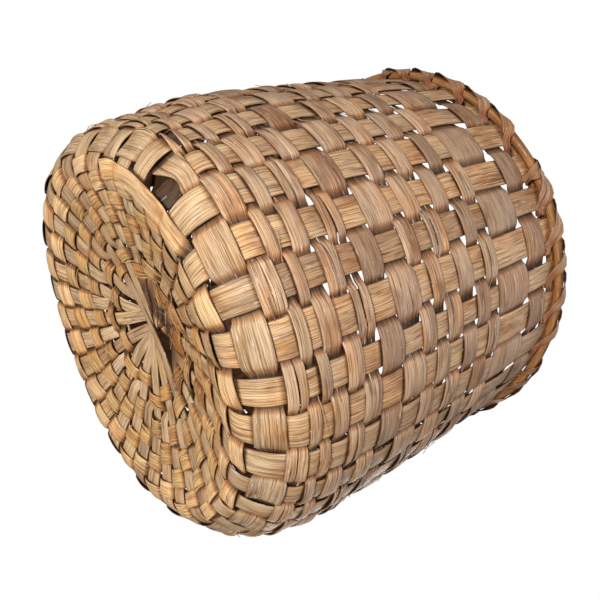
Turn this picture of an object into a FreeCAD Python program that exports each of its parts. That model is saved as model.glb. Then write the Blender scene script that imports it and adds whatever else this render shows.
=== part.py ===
import FreeCAD, Part
import math
import os

# A round, open basket of split-wood splints, standing on its base.
# Nine long splints cross under the middle and turn up to make eighteen stakes.
# Eighteen added stakes come in between them, so thirty-six stakes make the wall.
# Flat rows go over one stake and under the next, and two hoops and a lashing close the rim.

doc = FreeCAD.newDocument("splint_basket")

# Driving sizes in millimetres. The counts are plain numbers.
SIZES = {
    "wall_radius": 125.0,
    "corner_radius": 22.0,
    "dome_rise": 18.0,
    "long_splints": 9,
    "stake_width": 15.0,
    "waist_width": 6.5,
    "taper_end_radius": 118.0,
    "splint_thickness": 0.8,
    "weaver_thickness": 0.8,
    "weave_gap": 0.25,
    "edge_margin": 0.4,
    "stack_gap": 0.15,
    "added_tail": 15.0,
    "row_gap": 0.8,
    "layer_step": 6.0,
    "corner_gap": 4.0,
    "open_gap": 5.0,
    "rim_gap": 10.1,
    "outer_hoop_rod": 5.5,
    "inner_hoop_rod": 5.0,
    "inner_hoop_lift": 2.0,
    "rim_fit": 0.15,
    "stake_top_drop": 0.5,
    "lashing_width": 4.6,
    "lashing_thickness": 0.8,
    "lashing_gap": 0.25,
    "base_row_1": 7.5,
    "base_row_2": 7.5,
    "base_row_3": 10.2,
    "base_row_4": 10.2,
    "base_row_5": 10.2,
    "base_row_6": 10.2,
    "resting_row": 10.0,
    "lower_corner_share": 0.6,
    "corner_row_3": 6.0,
    "wall_row_1": 6.0,
    "wall_row_2": 9.0,
    "wall_row_3": 9.0,
    "wall_row_4": 10.0,
    "wall_row_5": 13.5,
    "wall_row_6": 14.5,
    "wall_row_7": 9.0,
    "wall_row_8": 9.0,
    "wall_row_9": 10.5,
    "wall_row_10": 11.5,
    "wall_row_11": 9.5,
    "wall_row_12": 10.0,
    "wall_row_13": 27.0,
    "wall_row_14": 15.5,
}

sheet = doc.addObject("Spreadsheet::Sheet", "Sizes")
for line, (alias, value) in enumerate(SIZES.items(), start=1):
    sheet.set(f"A{line}", alias)
    sheet.set(f"B{line}", str(value))
    sheet.setAlias(f"B{line}", alias)
doc.recompute()


def size(alias):
    return float(sheet.get(alias))


# Stakes on the wall: two to each long splint, and as many added ones.
LONG_ARMS = 2 * round(size("long_splints"))
STAKES = 2 * LONG_ARMS
STAKE_STEP = 360.0 / STAKES

INNER_BASE_ROWS = ["base_row_1", "base_row_2"]
OUTER_BASE_ROWS = ["base_row_3", "base_row_4", "base_row_5", "base_row_6", "resting_row"]
CORNER_ROWS = ["corner_row_1", "corner_row_2", "corner_row_3"]
WALL_ROWS = [f"wall_row_{number}" for number in range(1, 15)]
# The last wall row stands clear of the one below it, with daylight between.
ROW_UNDER_RIM = WALL_ROWS[-1]

splint = size("splint_thickness")
weaver = size("weaver_thickness")
wall_radius = size("wall_radius")
corner_radius = size("corner_radius")
row_gap = size("row_gap")

# A row lies this far from the middle of the stakes that it passes.
weave_offset = (splint + weaver) / 2 + size("weave_gap")


def chord_sag(width):
    return corner_radius * (1 - math.cos(width / 2 / corner_radius))


# The side profile of a stake: a dished base, a round corner and a straight wall.
# The resting row hangs lowest and its flats stand on the floor, which sets the corner's height.
resting_half_turn = size("resting_row") / 2 / corner_radius
resting_reach = weave_offset + chord_sag(size("resting_row")) + weaver / 2
corner_x = wall_radius - corner_radius
corner_z = (corner_radius + resting_reach) * math.cos(resting_half_turn)
dome_rise = size("dome_rise")
dome_radius = (corner_x**2 + (corner_radius - dome_rise) ** 2 - corner_radius**2) / (2 * dome_rise)
dome_z = corner_z - corner_radius + dome_rise - dome_radius
dome_turn = math.asin(corner_x / (corner_radius + dome_radius))

# Lengths along the profile, from the middle of the base outward and up.
dome_length = dome_radius * dome_turn
bottom_length = dome_length + corner_radius * dome_turn
wall_length = bottom_length + corner_radius * math.pi / 2


def profile(length, offset):
    """The point at a length along the stake's profile and an offset to the outside."""
    if length < dome_length:
        turn = length / dome_radius
        reach = dome_radius - offset
        return (reach * math.sin(turn), dome_z + reach * math.cos(turn))
    if length < wall_length:
        turn = (length - bottom_length) / corner_radius
        reach = corner_radius + offset
        return (corner_x + reach * math.sin(turn), corner_z - reach * math.cos(turn))
    return (wall_radius + offset, corner_z + length - wall_length)


def half_width(radius):
    """Half the width of a stake, which is waisted near the middle of the base."""
    waist = size("waist_width") / 2
    full = size("stake_width") / 2
    share = (radius - step_end_radius) / (size("taper_end_radius") - step_end_radius)
    return waist + (full - waist) * min(max(share, 0), 1)


# Row widths. The first two corner rows share the arc between the resting row and the wall.
resting_edge = bottom_length + size("resting_row") / 2
corner_room = wall_length - resting_edge - size("corner_gap") - 2 * row_gap
row_widths = {name: size(name) for name in INNER_BASE_ROWS + OUTER_BASE_ROWS + WALL_ROWS}
row_widths["corner_row_1"] = corner_room * size("lower_corner_share")
row_widths["corner_row_2"] = corner_room - row_widths["corner_row_1"]
row_widths["corner_row_3"] = size("corner_row_3")


# Rows in a stack, each a start along the profile and a width: base rows inward from the corner,
# and corner and wall rows upward from it.
def stack_inward(names, outer_edge):
    rows = {}
    for name in reversed(names):
        rows[name] = outer_edge - row_widths[name]
        outer_edge = rows[name] - row_gap
    return rows


def stack_upward(names, start):
    rows = {}
    for name in names:
        if name == ROW_UNDER_RIM:
            start += size("open_gap") - row_gap
        rows[name] = start
        start += row_widths[name] + row_gap
    return rows


outer_starts = stack_inward(OUTER_BASE_ROWS, resting_edge)
step_end = outer_starts[OUTER_BASE_ROWS[0]] - row_gap
inner_starts = stack_inward(INNER_BASE_ROWS, step_end - size("layer_step"))
upper_starts = stack_upward(CORNER_ROWS + WALL_ROWS, resting_edge + size("corner_gap"))
rim_row_top = corner_z + upper_starts[ROW_UNDER_RIM] + row_widths[ROW_UNDER_RIM] - wall_length

step_end_radius = profile(step_end, 0)[0]
step_start_radius = profile(step_end - size("layer_step") + row_gap, 0)[0]
# Inside this radius the long splints overlap one another in plan.
crossing_radius = size("waist_width") / 2 / math.tan(math.pi / LONG_ARMS) + size("edge_margin")

# The rim: an outer and an inner rod, which hold the tops of the stakes between them.
outer_rod = size("outer_hoop_rod")
inner_rod = size("inner_hoop_rod")
stake_face = splint / 2 + size("rim_fit")
outer_hoop_radius = wall_radius + stake_face + outer_rod / 2
inner_hoop_radius = wall_radius - stake_face - inner_rod / 2
hoop_z = rim_row_top + size("rim_gap") + outer_rod / 2
inner_hoop_z = hoop_z + size("inner_hoop_lift")
stake_top = hoop_z + outer_rod / 2 - size("stake_top_drop")


def on_arm(point, angle):
    """Turn a point from the frame of the stake on the X axis to the stake at an angle."""
    return FreeCAD.Rotation(FreeCAD.Vector(0, 0, 1), angle).multVec(point)


def row_depth(radius, arms, clear_half, rise):
    """How far a row swings inward behind a stake, to pass the stake's edges with its gap."""
    open_width = 2 * radius * math.sin(math.pi / arms) - 2 * clear_half
    return weave_offset + clear_half * rise / open_width


def weave_path(radius, outer_radius, arms, parity, sag):
    """Angle, side shift and offset of a row at each stake: flat outside one, bent in behind the next."""
    clear_half = half_width(outer_radius) + size("edge_margin")
    outside = weave_offset + sag
    inside = -row_depth(radius, arms, clear_half, outside + weave_offset)
    path = []
    for arm in range(arms):
        angle = arm * 360.0 / arms
        if arm % 2 == parity:
            path.append((angle, -clear_half, outside))
            path.append((angle, clear_half, outside))
        else:
            path.append((angle, 0.0, inside))
    return path


FLAT_TOLERANCE = 1e-6


def patch(corners):
    """One flat face on four corners, or two triangles where they don't lie in a plane."""
    first, second, third, fourth = corners
    normal = (second - first).cross(third - first).normalize()
    if abs(normal.dot(fourth - first)) < FLAT_TOLERANCE:
        return [Part.Face(Part.makePolygon([first, second, third, fourth, first]))]
    lower = Part.makePolygon([first, second, third, first])
    upper = Part.makePolygon([first, third, fourth, first])
    return [Part.Face(lower), Part.Face(upper)]


def strip_solid(sections, closed):
    """A solid through sections with the same number of corners, joined end to end where it is closed."""
    faces = []
    following = sections[1:] + sections[:1] if closed else sections[1:]
    for here, there in zip(sections, following):
        for corner in range(len(here)):
            beside = (corner + 1) % len(here)
            ring = [here[corner], here[beside], there[beside], there[corner]]
            # Opposite sides split along the same diagonal, so a thin strip keeps its thickness.
            if 2 * corner >= len(here):
                ring = ring[1:] + ring[:1]
            faces += patch(ring)
    if not closed:
        faces += patch(sections[0])
        faces += patch(sections[-1])
    shell = Part.Compound(faces)
    shell.sewShape()
    solid = Part.Solid(shell.Shells[0])
    if solid.Volume < 0:
        solid.reverse()
    return solid


def add_feature(name, shape):
    piece = doc.addObject("Part::Feature", name)
    piece.Label = name
    piece.Shape = shape
    piece.Placement = FreeCAD.Placement()
    return piece


def make_ring_row(name, start, arms, parity, sag):
    """A row that follows the dish or the corner, as one closed strip."""
    end = start + row_widths[name]
    path = weave_path(profile(start, 0)[0], profile(end, 0)[0], arms, parity, sag)
    sections = []
    for angle, shift, offset in path:
        section = []
        for length, side in ((start, -1), (start, 1), (end, 1), (end, -1)):
            radius, height = profile(length, offset + side * weaver / 2)
            section.append(on_arm(FreeCAD.Vector(radius, shift, height), angle))
        sections.append(section)
    return add_feature(name, strip_solid(sections, True))


def make_wave_face(name, parity):
    """The plan of a wall row: a closed wave of the row's thickness round the stakes."""
    rings = []
    for side in (1, -1):
        points = []
        for angle, shift, offset in weave_path(wall_radius, wall_radius, STAKES, parity, 0):
            radius = wall_radius + offset + side * weaver / 2
            points.append(on_arm(FreeCAD.Vector(radius, shift, 0), angle))
        rings.append(Part.makePolygon(points + points[:1]))
    return add_feature(name, Part.makeFace(rings, "Part::FaceMakerBullseye"))


def make_wall_row(name, wave, start):
    """A row on the straight wall: the wave raised by the row's width."""
    row = doc.addObject("Part::Extrusion", name)
    row.Label = name
    row.Base = wave
    row.DirMode = "Custom"
    row.Dir = FreeCAD.Vector(0, 0, 1)
    row.setExpression("LengthFwd", f"Sizes.{name}")
    row.Solid = True
    foot = FreeCAD.Vector(0, 0, corner_z + start - wall_length)
    row.Placement = FreeCAD.Placement(foot, FreeCAD.Rotation())
    return row


def vertical(radius, height):
    return FreeCAD.Vector(radius, 0, height)


def on_profile(length, side):
    return vertical(*profile(length, side))


def dome_height(radius):
    return dome_z + math.sqrt(dome_radius**2 - radius**2)


def start_and_half_way(start, end):
    return [start, (start + end) / 2]


# A stake bends between rows: half way along each part of the dish, then at the edges of the corner's rows.
half_gap = row_gap / 2
corner_bends = [outer_starts["resting_row"] - half_gap, resting_edge, resting_edge + size("corner_gap")]
corner_bends += [upper_starts[name] + row_widths[name] + half_gap for name in CORNER_ROWS]
top_length = wall_length + stake_top - corner_z
outer_bends = start_and_half_way(step_end, corner_bends[0]) + corner_bends + [top_length]


def band_face(points_of_side):
    """The thin face between the outer and the inner side of a splint, each a run of points."""
    outer = points_of_side(splint / 2)
    inner = points_of_side(-splint / 2)
    return Part.Face(Part.makePolygon(outer + inner[::-1] + outer[:1]))


def long_splint_face(level):
    """The profile of a long splint, which lies on those below it where they cross."""
    flat_z = dome_height(0) + level * (splint + size("stack_gap"))
    weave_start = inner_starts[INNER_BASE_ROWS[0]] - row_gap
    bends = start_and_half_way(weave_start, step_end) + outer_bends

    def points_of_side(side):
        half = [vertical(crossing_radius, flat_z - side)]
        half += [on_profile(length, side) for length in bends]
        return [vertical(-point.x, point.z) for point in reversed(half)] + half

    return band_face(points_of_side)


def added_stake_face():
    """The profile of an added stake, whose tail lies inside the first rows."""
    row_radius = profile(inner_starts[INNER_BASE_ROWS[0]], 0)[0]
    clear_half = half_width(row_radius) + size("edge_margin")
    lift = row_depth(row_radius, LONG_ARMS, clear_half, 2 * weave_offset) + weave_offset
    tail_radii = (step_start_radius - size("added_tail"), step_start_radius)

    def points_of_side(side):
        tail = [vertical(radius, dome_height(radius) + lift - side) for radius in tail_radii]
        return tail + [on_profile(length, side) for length in outer_bends]

    return band_face(points_of_side)


def make_plan(name):
    """The plan outline of a long splint: narrow where it crosses the others, full at the corner."""
    reach = wall_radius + corner_radius
    waist = size("waist_width") / 2
    full = size("stake_width") / 2
    taper_end = size("taper_end_radius")
    quarter = [(step_end_radius, waist), (taper_end, full), (reach, full)]
    outline = [(x, y) for x, y in quarter]
    outline += [(x, -y) for x, y in reversed(quarter)]
    outline += [(-x, -y) for x, y in quarter]
    outline += [(-x, y) for x, y in reversed(quarter)]
    points = [FreeCAD.Vector(x, y, 0) for x, y in outline]
    plan_face = add_feature(name + "_face", Part.Face(Part.makePolygon(points + points[:1])))
    plan = doc.addObject("Part::Extrusion", name)
    plan.Base = plan_face
    plan.DirMode = "Custom"
    plan.Dir = FreeCAD.Vector(0, 0, 1)
    plan.LengthFwd = stake_top + splint
    plan.Solid = True
    return plan


def make_stake(name, face, plan, angle):
    """A splint: its profile as a sheet, cut to the plan outline and turned to its place."""
    profile_face = add_feature(name + "_profile", face)
    sheet_body = doc.addObject("Part::Extrusion", name + "_sheet")
    sheet_body.Base = profile_face
    sheet_body.DirMode = "Custom"
    sheet_body.Dir = FreeCAD.Vector(0, 1, 0)
    sheet_body.setExpression("LengthFwd", "2 * Sizes.stake_width")
    sheet_body.Symmetric = True
    sheet_body.Solid = True
    stake = doc.addObject("Part::Common", name)
    stake.Label = name
    stake.Base = sheet_body
    stake.Tool = plan
    stake.Placement = FreeCAD.Placement(FreeCAD.Vector(), FreeCAD.Rotation(FreeCAD.Vector(0, 0, 1), angle))
    return stake


ROD_SIDES = 8


def make_hoop(name, middle_radius, rod, height):
    """A rod bent round the stakes, straight across each one, so that it lies flat on it."""
    corner_reach = rod / 2 / math.cos(math.pi / ROD_SIDES)
    corner_turns = [math.radians(360.0 * (corner + 0.5) / ROD_SIDES) for corner in range(ROD_SIDES)]
    bend = math.cos(math.radians(STAKE_STEP / 2))
    sections = []
    for stake in range(STAKES):
        section = []
        for turn in corner_turns:
            radius = (middle_radius + corner_reach * math.cos(turn)) / bend
            point = vertical(radius, height + corner_reach * math.sin(turn))
            section.append(on_arm(point, (stake + 0.5) * STAKE_STEP))
        sections.append(section)
    return add_feature(name, strip_solid(sections, True))


def make_lashing(name):
    """One long splint wound round both hoops, with a turn down through every gap between stakes."""
    half_width_of_splint = size("lashing_width") / 2
    half_thickness = size("lashing_thickness") / 2
    clear = size("lashing_gap") + half_thickness
    bend = math.cos(math.radians(STAKE_STEP / 2))
    outer = (outer_hoop_radius + outer_rod / 2) / bend + clear
    inner = inner_hoop_radius - inner_rod / 2 - clear
    low = hoop_z - outer_rod / 2 - clear
    high = inner_hoop_z + inner_rod / 2 + clear
    half_step = STAKE_STEP / 2
    # Each corner of the loop: its radius, its height, how it leans outward and up, and its share of the step.
    corners = [
        (outer, low, 1, -1, 0),
        (inner, low, -1, -1, 0),
        (inner, high, -1, 1, 0),
        (outer, high, 1, 1, half_step),
    ]
    sections = []
    for turn in range(STAKES):
        for radius, height, out, up, advance in corners:
            angle = turn * STAKE_STEP + half_step + advance
            section = []
            for shift, side in ((-1, -1), (1, -1), (1, 1), (-1, 1)):
                lean = side * half_thickness
                point = FreeCAD.Vector(radius + out * lean, shift * half_width_of_splint, height + up * lean)
                section.append(on_arm(point, angle))
            sections.append(section)
    return add_feature(name, strip_solid(sections, False))


# Long splints, the lowest first, and the added stakes between them.
pieces = []
plan_outline = make_plan("plan_outline")
for level in range(LONG_ARMS // 2):
    angle = level * 2 * STAKE_STEP
    pieces.append(make_stake(f"long_splint_{level + 1}", long_splint_face(level), plan_outline, angle))
for place in range(LONG_ARMS):
    angle = (2 * place + 1) * STAKE_STEP
    pieces.append(make_stake(f"added_stake_{place + 1}", added_stake_face(), plan_outline, angle))

# Rows, each passing outside the stakes that the row before it passed inside.
for number, name in enumerate(INNER_BASE_ROWS):
    pieces.append(make_ring_row(name, inner_starts[name], LONG_ARMS, number % 2, 0))
outer_rows = OUTER_BASE_ROWS + CORNER_ROWS
ring_starts = {**outer_starts, **upper_starts}
resting_number = OUTER_BASE_ROWS.index("resting_row")
for number, name in enumerate(outer_rows):
    sag = chord_sag(row_widths[name]) if number >= resting_number else 0
    parity = (number + resting_number) % 2
    pieces.append(make_ring_row(name, ring_starts[name], STAKES, parity, sag))
waves = [make_wave_face(f"wave_{parity}", parity) for parity in range(2)]
for number, name in enumerate(WALL_ROWS, start=len(outer_rows)):
    pieces.append(make_wall_row(name, waves[(number + resting_number) % 2], upper_starts[name]))

# The rim.
pieces.append(make_hoop("outer_rim_hoop", outer_hoop_radius, outer_rod, hoop_z))
pieces.append(make_hoop("inner_rim_hoop", inner_hoop_radius, inner_rod, inner_hoop_z))
pieces.append(make_lashing("rim_lashing"))
doc.recompute()

for item in doc.Objects:
    if "Invalid" in item.State or "Error" in item.State:
        raise RuntimeError(f"{item.Label} failed to build")
for piece in pieces:
    if piece.Shape.isNull() or not piece.Shape.isValid():
        raise RuntimeError(f"{piece.Label} has no valid shape")

os.makedirs("parts", exist_ok=True)
for piece in pieces:
    piece.Shape.exportStep(f"parts/{piece.Label}.step")
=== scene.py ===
import bpy
import math
import numpy as np
from mathutils import Matrix, Vector


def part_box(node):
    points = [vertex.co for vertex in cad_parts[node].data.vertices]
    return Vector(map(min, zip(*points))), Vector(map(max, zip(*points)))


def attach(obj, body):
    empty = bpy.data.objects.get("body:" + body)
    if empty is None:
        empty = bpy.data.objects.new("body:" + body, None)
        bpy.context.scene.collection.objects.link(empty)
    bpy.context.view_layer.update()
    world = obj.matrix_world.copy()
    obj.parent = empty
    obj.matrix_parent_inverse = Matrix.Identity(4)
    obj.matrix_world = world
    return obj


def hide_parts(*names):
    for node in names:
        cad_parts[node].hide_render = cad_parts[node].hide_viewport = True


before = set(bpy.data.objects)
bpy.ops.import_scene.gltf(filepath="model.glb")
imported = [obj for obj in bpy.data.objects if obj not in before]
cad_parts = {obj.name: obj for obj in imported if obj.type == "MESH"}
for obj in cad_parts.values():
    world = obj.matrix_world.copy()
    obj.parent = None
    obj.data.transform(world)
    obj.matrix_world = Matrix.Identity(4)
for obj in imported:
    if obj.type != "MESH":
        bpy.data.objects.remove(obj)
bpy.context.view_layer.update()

# A round, open basket woven from split-wood splints, shown from below and beside its base.
# Every length is in metres. Strips are laid along the stakes' side profile and round the basket.

MM = 0.001
SEED = 36
rng = np.random.default_rng(SEED)

# Counts and sizes of the weave.
STAKES = 36
STAKE_STEP = 2 * math.pi / STAKES
LONG_SPLINTS = 9
CORNER_RADIUS = 22.0 * MM
DOME_RISE = 18.0 * MM
SPLINT_THICKNESS = 1.0 * MM
ROW_THICKNESS = 0.9 * MM
ROW_GAP = 0.8 * MM
# Half the thickness of a CAD splint, which lies outside the wall's middle line.
CAD_HALF_SPLINT = 0.4 * MM

wall_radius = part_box("long_splint_1")[1].x - CAD_HALF_SPLINT
corner_x = wall_radius - CORNER_RADIUS
corner_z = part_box("corner_row_3")[0].z
dome_radius = (corner_x**2 + (CORNER_RADIUS - DOME_RISE) ** 2 - CORNER_RADIUS**2) / (2 * DOME_RISE)
dome_z = corner_z - CORNER_RADIUS + DOME_RISE - dome_radius
dome_turn = math.asin(corner_x / (CORNER_RADIUS + dome_radius))
# Lengths along the profile: to the end of the dish, the lowest ring, the foot of the wall and the top.
dome_length = dome_radius * dome_turn
bottom_length = dome_length + CORNER_RADIUS * dome_turn
wall_length = bottom_length + CORNER_RADIUS * math.pi / 2
stake_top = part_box("long_splint_1")[1].z
stake_length = wall_length + stake_top - corner_z


def surface(length, angle, offset):
    """Points on the basket, by length along a stake's profile, angle round it and offset outward."""
    length, angle, offset = np.broadcast_arrays(length, angle, offset)
    dome = length / dome_radius
    corner = (length - bottom_length) / CORNER_RADIUS
    on_dome = length < dome_length
    on_wall = length >= wall_length
    radius = corner_x + (CORNER_RADIUS + offset) * np.sin(corner)
    height = corner_z - (CORNER_RADIUS + offset) * np.cos(corner)
    radius = np.where(on_dome, (dome_radius - offset) * np.sin(dome), radius)
    height = np.where(on_dome, dome_z + (dome_radius - offset) * np.cos(dome), height)
    radius = np.where(on_wall, wall_radius + offset, radius)
    height = np.where(on_wall, corner_z + length - wall_length, height)
    return np.stack([radius * np.cos(angle), radius * np.sin(angle), height], axis=-1)


def ease(share):
    """A share from 0 to 1 that starts and ends softly."""
    share = np.clip(share, 0, 1)
    return share * share * (3 - 2 * share)


def bump(value, middle, spread):
    """A soft bump, 1 at its middle."""
    return np.exp(-(((value - middle) / spread) ** 2) / 2)


def turn_bump(angle, middle, spread):
    """A soft bump round the basket, by angles in degrees."""
    away = (np.degrees(angle) - middle + 180) % 360 - 180
    return bump(away, 0, spread)


# The middle of the corner, seen from the side, and how far its rounding reaches.
CORNER_MIDDLE = (corner_x + CORNER_RADIUS * math.sqrt(0.5), corner_z - CORNER_RADIUS * math.sqrt(0.5))
CORNER_SPREAD = 17.0 * MM
# Where the corner has gone soft: how deep in millimetres, and its middle and spread in degrees.
SOFT_CORNERS = ((11.0, 72, 40), (9.0, 294, 22))
# The share of that depth by which the corner moves inward, and as much upward.
CORNER_SINK = 0.7
# Swellings and a narrowing: their depth, middle and spread in degrees, and height and spread in height.
BULGE = (7.0 * MM, 232, 26, 8 * MM, 35 * MM)
BELLY = (3.0 * MM, 105, 35, 100 * MM, 45 * MM)
NARROWING = (6.0 * MM, 296, 20, 28 * MM, 20 * MM)
# The rim is drawn in, from a height and over a height.
RIM_DRAWN = 1.5 * MM
DRAWN_FROM = 150 * MM
DRAWN_OVER = 70 * MM
# The splints cross this far from the basket's axis, toward the side that is up in the photo.
CROSSING_SHIFT = (-6.0 * MM, -8.0 * MM)
CROSSING_REACH = 96.0 * MM
DISH_TOP = 60 * MM


def swell(angle, z, form):
    """How far a swelling moves the wall, by the angle round the basket and the height."""
    depth, middle, spread, height, reach = form
    return depth * turn_bump(angle, middle, spread) * bump(z, height, reach)


def shaped_by_hand(points):
    """Points of the true form, moved to the uneven one: softer corners, bulges, a drawn-in rim."""
    x, y, z = np.moveaxis(points, -1, 0)
    angle = np.arctan2(y, x)
    radius = np.hypot(x, y)
    outward = ease(radius / wall_radius)
    near_corner = bump(radius, CORNER_MIDDLE[0], CORNER_SPREAD) * bump(z, CORNER_MIDDLE[1], CORNER_SPREAD)
    soft = sum(depth * turn_bump(angle, *place) for depth, *place in SOFT_CORNERS) * MM * near_corner
    bulge = swell(angle, z, BULGE) * outward
    belly = swell(angle, z, BELLY)
    drawn = RIM_DRAWN * ease((z - DRAWN_FROM) / DRAWN_OVER)
    narrow = swell(angle, z, NARROWING) * outward
    change = bulge + belly - drawn - narrow - soft * CORNER_SINK
    dish = np.where(z < DISH_TOP, np.clip(1 - (radius / CROSSING_REACH) ** 2, 0, 1) ** 2, 0.0)
    x = x + change * np.cos(angle) + CROSSING_SHIFT[0] * dish
    y = y + change * np.sin(angle) + CROSSING_SHIFT[1] * dish
    return np.stack([x, y, np.maximum(z + soft * CORNER_SINK, 0.0)], axis=-1)


def wander(count, steps, closed):
    """A smooth random line of values near -1 to 1, with the given number of turns in it."""
    knots = rng.uniform(-1, 1, steps)
    places = np.linspace(0, steps, count, endpoint=not closed)
    whole = np.floor(places).astype(int)
    share = ease(places - whole)
    if closed:
        return knots[whole % steps] * (1 - share) + knots[(whole + 1) % steps] * share
    first = np.minimum(whole, steps - 1)
    second = np.minimum(whole + 1, steps - 1)
    return knots[first] * (1 - share) + knots[second] * share


# Places across a strip, from one edge to the other, and the share of the thickness at each.
ACROSS = np.array([-1.0, -0.94, -0.72, -0.36, 0.0, 0.36, 0.72, 0.94, 1.0])
FULLNESS = np.array([0.35, 0.85, 1.0, 1.0, 1.0, 1.0, 1.0, 0.85, 0.35])
MIDDLE = len(ACROSS) // 2


def strip_mesh(name, strands, material):
    """One mesh of strands: outer and inner points, lengths, half widths and the painted shade of both sides.
    """
    points = []
    faces = []
    coordinates = []
    tones = []
    first = 0
    places = np.concatenate([ACROSS, ACROSS[::-1]])
    for outer, inner, along, half_widths, closed, shade_out, shade_in in strands:
        count, across = outer.shape[:2]
        ring = shaped_by_hand(np.concatenate([outer, inner[:, ::-1]], axis=1))
        points.append(ring.reshape(-1, 3))
        span = 2 * across
        seed = rng.uniform(0, 1)
        tint = rng.uniform(0, 1)
        tone = np.empty((count, span, 4))
        tone[..., 0] = tint
        tone[..., 1] = np.abs(places)
        tone[..., 2] = seed
        # The alpha holds the painted shade of the outer and the inner side.
        tone[:, :across, 3] = shade_out[:, None]
        tone[:, across:, 3] = shade_in[:, None]
        tones.append(tone.reshape(-1, 4))
        for row in range(count if closed else count - 1):
            here = first + row * span
            there = first + ((row + 1) % count) * span
            next_along = along[row + 1]
            next_half = half_widths[(row + 1) % count]
            for place in range(span):
                beside = (place + 1) % span
                faces.append((here + place, here + beside, there + beside, there + place))
                coordinates.append((along[row], places[place] * half_widths[row]))
                coordinates.append((along[row], places[beside] * half_widths[row]))
                coordinates.append((next_along, places[beside] * next_half))
                coordinates.append((next_along, places[place] * next_half))
        if not closed:
            last = first + (count - 1) * span
            for start, way, end_along in ((first, 1, along[0]), (last, -1, along[count - 1])):
                cap = [start + place for place in range(span)]
                faces.append(tuple(cap[::-way]))
                coordinates.extend([(end_along, 0.0)] * span)
        first += count * span
    mesh = bpy.data.meshes.new(name)
    mesh.from_pydata(np.concatenate(points).tolist(), [], faces)
    layer = mesh.uv_layers.new(name="strip")
    layer.data.foreach_set("uv", np.asarray(coordinates, dtype=np.float32).ravel())
    attribute = mesh.color_attributes.new("splint", "FLOAT_COLOR", "POINT")
    attribute.data.foreach_set("color", np.concatenate(tones).astype(np.float32).ravel())
    mesh.polygons.foreach_set("use_smooth", np.ones(len(mesh.polygons), dtype=bool))
    mesh.materials.append(material)
    mesh.validate()
    piece = bpy.data.objects.new(name, mesh)
    bpy.context.collection.objects.link(piece)
    return piece


def place_piece(piece, node):
    """Attaches a piece to the root body and hides the solid that it replaces."""
    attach(piece, "root")
    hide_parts(node)


def running_length(centre, closed):
    """The length along a line of points, at each point, and back at the first if the line is closed."""
    steps = np.linalg.norm(np.diff(centre, axis=0), axis=1)
    if closed:
        steps = np.append(steps, np.linalg.norm(centre[0] - centre[-1]))
    return np.concatenate([[0.0], np.cumsum(steps)])


# Shader nodes

def feed(tree, socket, value):
    """Links a socket to another node's output, or sets it to a plain value."""
    if isinstance(value, bpy.types.NodeSocket):
        tree.links.new(value, socket)
    else:
        socket.default_value = value


def calculated(tree, operation, *values):
    """The result of a sum on values and sockets."""
    node = tree.nodes.new("ShaderNodeMath")
    node.operation = operation
    for socket, value in zip(node.inputs, values):
        feed(tree, socket, value)
    return node.outputs["Value"]


def mapped(tree, source, start, end, kind="SMOOTHSTEP"):
    """A value carried from one range to another."""
    node = tree.nodes.new("ShaderNodeMapRange")
    node.interpolation_type = kind
    node.inputs["From Min"].default_value = start[0]
    node.inputs["From Max"].default_value = start[1]
    node.inputs["To Min"].default_value = end[0]
    node.inputs["To Max"].default_value = end[1]
    feed(tree, node.inputs["Value"], source)
    return node.outputs["Result"]


def ramp(tree, source, stops):
    """The colours that a value turns into, through stops of a position and a colour."""
    node = tree.nodes.new("ShaderNodeValToRGB")
    elements = node.color_ramp.elements
    for element, (position, color) in zip(elements, (stops[0], stops[-1])):
        element.position = position
        element.color = (*color, 1.0)
    for position, color in stops[1:-1]:
        element = elements.new(position)
        element.color = (*color, 1.0)
    feed(tree, node.inputs["Fac"], source)
    return node.outputs["Color"]


def mixed(tree, kind, share, first, second):
    """A colour laid over another by a share; each is a socket or a plain value."""
    node = tree.nodes.new("ShaderNodeMix")
    node.data_type = "RGBA"
    node.blend_type = kind
    feed(tree, node.inputs["Factor"], share)
    feed(tree, node.inputs["A"], first)
    feed(tree, node.inputs["B"], second)
    return node.outputs["Result"]


# Wood

WHITE = (1.0, 1.0, 1.0)
BLACK = (0.0, 0.0, 0.0)
LINE_BROWN = (0.17, 0.1, 0.065)
# Noises: repeats per metre along and across the strip, how far a strip's seed moves it, detail, roughness.
WAVER = (60.0, 60.0, 230.0, 2.0, 0.5)
BANDS = (9.0, 380.0, 90.0, 4.0, 0.65)
LINES = (42.0, 2500.0, 170.0, 4.0, 0.7)
SPLITS = (11.0, 620.0, 310.0, 2.0, 0.5)
STAINS = (45.0, 90.0, 530.0, 3.0, 0.55)
HUES = (26.0, 40.0, 610.0, 2.0, 0.5)
PATCHES = (34.0, 120.0, 53.0, 3.0, 0.6)
SCUFFS = (120.0, 700.0, 410.0, 4.0, 0.7)
# The grain wavers this much from side to side along the strip.
WAVER_WIDTH = 1.5 * MM
# Where the bands change between the wood's tones.
BAND_STOPS = (0.3, 0.46, 0.56, 0.7)
PATCH_STOPS = [(0.42, BLACK), (0.64, WHITE)]
SCUFF_STOPS = [(0.62, BLACK), (0.72, (0.5, 0.5, 0.5))]
SCUFFED_WOOD = (0.72, 0.66, 0.6, 1.0)
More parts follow.
